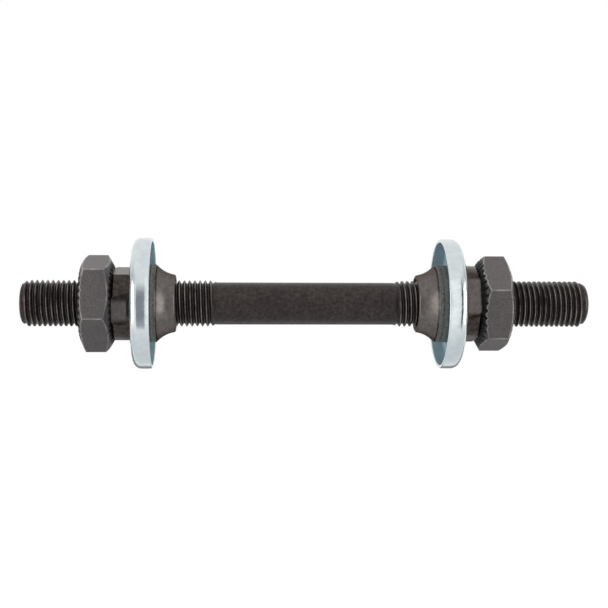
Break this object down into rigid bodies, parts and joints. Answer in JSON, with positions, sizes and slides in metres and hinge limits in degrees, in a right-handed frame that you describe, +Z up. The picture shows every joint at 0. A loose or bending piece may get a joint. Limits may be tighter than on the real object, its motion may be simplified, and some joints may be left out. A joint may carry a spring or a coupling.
{
  "type": "bicycle hub axle",
  "caption": "Threaded bicycle hub axle with a ground bearing cone, a pressed dust cap and a serrated hexagon locknut at each side.",
  "frame": {"origin": "middle of the axle's length, on its centre line", "axes": "X along the axle, +X towards the end with the longer free thread; +Z up, -Y towards the viewer"},
  "size_m": [0.116, 0.0266, 0.0266],
  "materials": {
    "axle_steel": "black oxide steel, satin",
    "cone_steel": "hardened and ground steel, dark grey brown",
    "zinc_plate": "bright zinc plate on sheet steel",
    "nut_steel": "dark phosphate steel, matte"
  },
  "bodies": {
    "axle": {"axle": "axle_steel"},
    "left_cone": {"left_cone": "cone_steel", "left_dust_cap": "zinc_plate"},
    "right_cone": {"right_cone": "cone_steel", "right_dust_cap": "zinc_plate"},
    "left_locknut": {"left_locknut": "nut_steel"},
    "right_locknut": {"right_locknut": "nut_steel"}
  },
  "joints": [
    {"name": "left_cone_travel", "type": "slide", "parent": "axle", "child": "left_cone", "axis": [-1, 0, 0], "range_m": [-0.008, 0.032]},
    {"name": "left_locknut_travel", "type": "slide", "parent": "left_cone", "child": "left_locknut", "axis": [-1, 0, 0], "range_m": [0, 0.0195]},
    {"name": "right_cone_travel", "type": "slide", "parent": "axle", "child": "right_cone", "axis": [1, 0, 0], "range_m": [-0.004, 0.0365]},
    {"name": "right_locknut_travel", "type": "slide", "parent": "right_cone", "child": "right_locknut", "axis": [1, 0, 0], "range_m": [0, 0.0245]}
  ]
}
